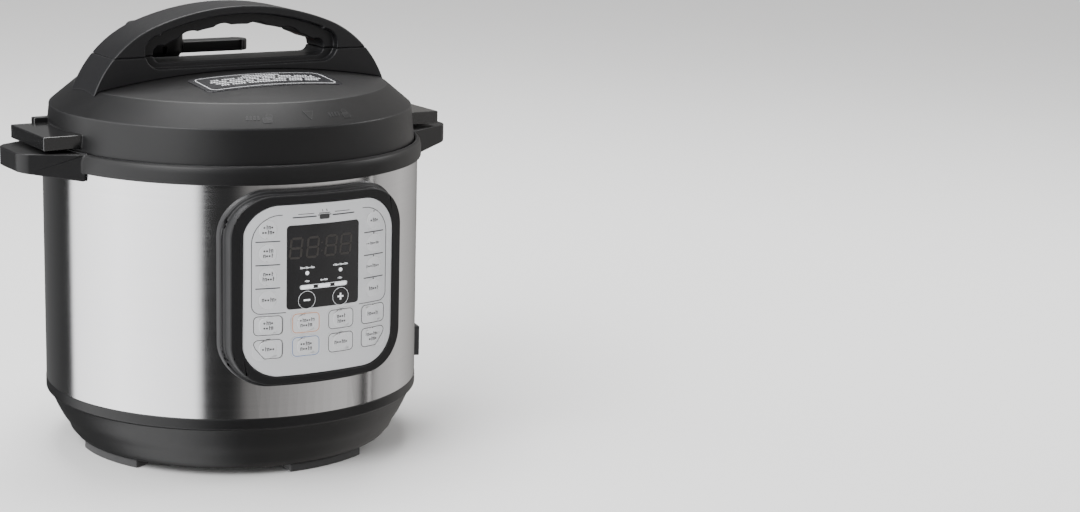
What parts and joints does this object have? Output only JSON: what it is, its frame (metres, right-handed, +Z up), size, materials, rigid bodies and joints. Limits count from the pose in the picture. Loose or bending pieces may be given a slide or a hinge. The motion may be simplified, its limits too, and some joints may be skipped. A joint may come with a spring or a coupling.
{
  "type": "electric pressure cooker",
  "caption": "Round electric pressure cooker with a curved front key panel, side handles, a twist-lock lid with an arched carrying handle, a steam release lever and a removable inner pot.",
  "frame": {"origin": "on the floor under the pot's axis", "axes": "+Z up, the key panel faces -Y, +X to the right seen from the front"},
  "size_m": [0.332, 0.3086, 0.3132],
  "materials": {
    "black_plastic": "fine-grained satin black",
    "rubber": "matt",
    "polished_steel": "satin polished",
    "steel": "brushed round the body",
    "aluminium": "cast and drawn",
    "white_plastic": "ceramic white",
    "circuit": "green board",
    "silver_panel": "silver-grey membrane",
    "window": "smoked gloss",
    "brass": "bright",
    "silicone": "translucent white",
    "label": "printed",
    "red_float": "red",
    "cup": "clear moulded",
    "silver_key": "silver-grey membrane"
  },
  "bodies": {
    "base": {"base_housing": "black_plastic", "rubber_feet": "rubber", "body_screws": "polished_steel", "steel_shell": "steel", "upper_collar": "black_plastic", "outer_pot": "aluminium", "heating_element": "aluminium", "element_bracket": "polished_steel", "pressure_switch": "black_plastic", "thermal_fuse": "white_plastic", "power_board": "circuit", "ribbon_cable": "white_plastic", "control_board": "circuit", "tact_switches": "black_plastic", "display_module": "black_plastic", "panel_bezel": "black_plastic", "panel_faceplate": "silver_panel", "display_window": "window", "power_inlet": "black_plastic", "inlet_pins": "brass", "cup_bracket": "black_plastic", "sensor_spring": "polished_steel"},
    "pot": {"inner_pot": "polished_steel"},
    "seal": {"sealing_ring": "silicone"},
    "lid": {"lid_cover": "black_plastic", "lid_handle_base": "black_plastic", "lid_handle_grip": "black_plastic", "lid_plate": "polished_steel", "lid_screws": "polished_steel", "lid_label": "label", "ring_rack": "polished_steel", "vent_pipe": "polished_steel", "vent_nut": "polished_steel", "anti_block_shield": "polished_steel", "lock_spring": "polished_steel"},
    "steam_release": {"steam_release": "black_plastic", "steam_weight": "polished_steel"},
    "float_valve": {"float_valve": "red_float", "float_seal": "silicone"},
    "lock_pin": {"lock_pin": "polished_steel"},
    "condensation_cup": {"condensation_cup": "cup"},
    "temperature_sensor": {"temperature_sensor": "aluminium"},
    "soup_key": {"soup_key": "silver_key"},
    "meat_key": {"meat_key": "silver_key"},
    "bean_key": {"bean_key": "silver_key"},
    "poultry_key": {"poultry_key": "silver_key"},
    "rice_key": {"rice_key": "silver_key"},
    "multigrain_key": {"multigrain_key": "silver_key"},
    "porridge_key": {"porridge_key": "silver_key"},
    "steam_key": {"steam_key": "silver_key"},
    "slow_cook_key": {"slow_cook_key": "silver_key"},
    "pressure_level_key": {"pressure_level_key": "silver_key"},
    "keep_warm_key": {"keep_warm_key": "silver_key"},
    "yogurt_key": {"yogurt_key": "silver_key"},
    "saute_key": {"saute_key": "silver_key"},
    "delay_start_key": {"delay_start_key": "silver_key"},
    "cancel_key": {"cancel_key": "silver_key"},
    "pressure_cook_key": {"pressure_cook_key": "silver_key"},
    "minus_key": {"minus_key": "window"},
    "plus_key": {"plus_key": "window"}
  },
  "joints": [
    {"name": "pot_lift", "type": "slide", "parent": "base", "child": "pot", "axis": [0, 0, 1], "range_m": [0, 0.165]},
    {"name": "lid_lift", "type": "slide", "parent": "pot", "child": "seal", "axis": [0, 0, 1], "range_m": [0, 0.12]},
    {"name": "lid_turn", "type": "hinge", "parent": "seal", "child": "lid", "pos_m": [0, 0, 0.2403], "axis": [0, 0, 1], "range_deg": [0, 30]},
    {"name": "steam_release_turn", "type": "hinge", "parent": "lid", "child": "steam_release", "pos_m": [-0.038, 0.05, 0.2708], "axis": [0, 0, 1], "range_deg": [0, 35]},
    {"name": "float_rise", "type": "slide", "parent": "lid", "child": "float_valve", "axis": [0, 0, 1], "range_m": [0, 0.004]},
    {"name": "lock_pin_rise", "type": "slide", "parent": "lid", "child": "lock_pin", "axis": [0, 0, 1], "range_m": [0, 0.003], "stiffness_N_per_m": 150, "springref_m": -0.004, "deforming": ["lock_spring"]},
    {"name": "sensor_press", "type": "slide", "parent": "base", "child": "temperature_sensor", "axis": [0, 0, 1], "range_m": [-0.003, 0], "stiffness_N_per_m": 800, "springref_m": 0.004, "deforming": ["sensor_spring"]},
    {"name": "cup_slide", "type": "slide", "parent": "base", "child": "condensation_cup", "axis": [0, 1, 0], "range_m": [0, 0.035]},
    {"name": "soup_key_press", "type": "slide", "parent": "base", "child": "soup_key", "axis": [0.2038, 0.979, 0], "range_m": [0, 0.0005], "stiffness_N_per_m": 1500, "springref_m": -0.0005},
    {"name": "meat_key_press", "type": "slide", "parent": "base", "child": "meat_key", "axis": [0.2038, 0.979, 0], "range_m": [0, 0.0005], "stiffness_N_per_m": 1500, "springref_m": -0.0005},
    {"name": "bean_key_press", "type": "slide", "parent": "base", "child": "bean_key", "axis": [0.2038, 0.979, 0], "range_m": [0, 0.0005], "stiffness_N_per_m": 1500, "springref_m": -0.0005},
    {"name": "poultry_key_press", "type": "slide", "parent": "base", "child": "poultry_key", "axis": [0.2038, 0.979, 0], "range_m": [0, 0.0005], "stiffness_N_per_m": 1500, "springref_m": -0.0005},
    {"name": "rice_key_press", "type": "slide", "parent": "base", "child": "rice_key", "axis": [-0.2038, 0.979, 0], "range_m": [0, 0.0005], "stiffness_N_per_m": 1500, "springref_m": -0.0005},
    {"name": "multigrain_key_press", "type": "slide", "parent": "base", "child": "multigrain_key", "axis": [-0.2038, 0.979, 0], "range_m": [0, 0.0005], "stiffness_N_per_m": 1500, "springref_m": -0.0005},
    {"name": "porridge_key_press", "type": "slide", "parent": "base", "child": "porridge_key", "axis": [-0.2038, 0.979, 0], "range_m": [0, 0.0005], "stiffness_N_per_m": 1500, "springref_m": -0.0005},
    {"name": "steam_key_press", "type": "slide", "parent": "base", "child": "steam_key", "axis": [-0.2038, 0.979, 0], "range_m": [0, 0.0005], "stiffness_N_per_m": 1500, "springref_m": -0.0005},
    {"name": "slow_cook_key_press", "type": "slide", "parent": "base", "child": "slow_cook_key", "axis": [0.2038, 0.979, 0], "range_m": [0, 0.0005], "stiffness_N_per_m": 1500, "springref_m": -0.0005},
    {"name": "pressure_level_key_press", "type": "slide", "parent": "base", "child": "pressure_level_key", "axis": [0.0679, 0.9977, 0], "range_m": [0, 0.0005], "stiffness_N_per_m": 1500, "springref_m": -0.0005},
    {"name": "keep_warm_key_press", "type": "slide", "parent": "base", "child": "keep_warm_key", "axis": [-0.0679, 0.9977, 0], "range_m": [0, 0.0005], "stiffness_N_per_m": 1500, "springref_m": -0.0005},
    {"name": "yogurt_key_press", "type": "slide", "parent": "base", "child": "yogurt_key", "axis": [-0.2038, 0.979, 0], "range_m": [0, 0.0005], "stiffness_N_per_m": 1500, "springref_m": -0.0005},
    {"name": "saute_key_press", "type": "slide", "parent": "base", "child": "saute_key", "axis": [0.2038, 0.979, 0], "range_m": [0, 0.0005], "stiffness_N_per_m": 1500, "springref_m": -0.0005},
    {"name": "delay_start_key_press", "type": "slide", "parent": "base", "child": "delay_start_key", "axis": [0.0679, 0.9977, 0], "range_m": [0, 0.0005], "stiffness_N_per_m": 1500, "springref_m": -0.0005},
    {"name": "cancel_key_press", "type": "slide", "parent": "base", "child": "cancel_key", "axis": [-0.0679, 0.9977, 0], "range_m": [0, 0.0005], "stiffness_N_per_m": 1500, "springref_m": -0.0005},
    {"name": "pressure_cook_key_press", "type": "slide", "parent": "base", "child": "pressure_cook_key", "axis": [-0.2038, 0.979, 0], "range_m": [0, 0.0005], "stiffness_N_per_m": 1500, "springref_m": -0.0005},
    {"name": "minus_key_press", "type": "slide", "parent": "base", "child": "minus_key", "axis": [0.0651, 0.9979, 0], "range_m": [0, 0.0005], "stiffness_N_per_m": 1500, "springref_m": -0.0005},
    {"name": "plus_key_press", "type": "slide", "parent": "base", "child": "plus_key", "axis": [-0.0651, 0.9979, 0], "range_m": [0, 0.0005], "stiffness_N_per_m": 1500, "springref_m": -0.0005}
  ]
}
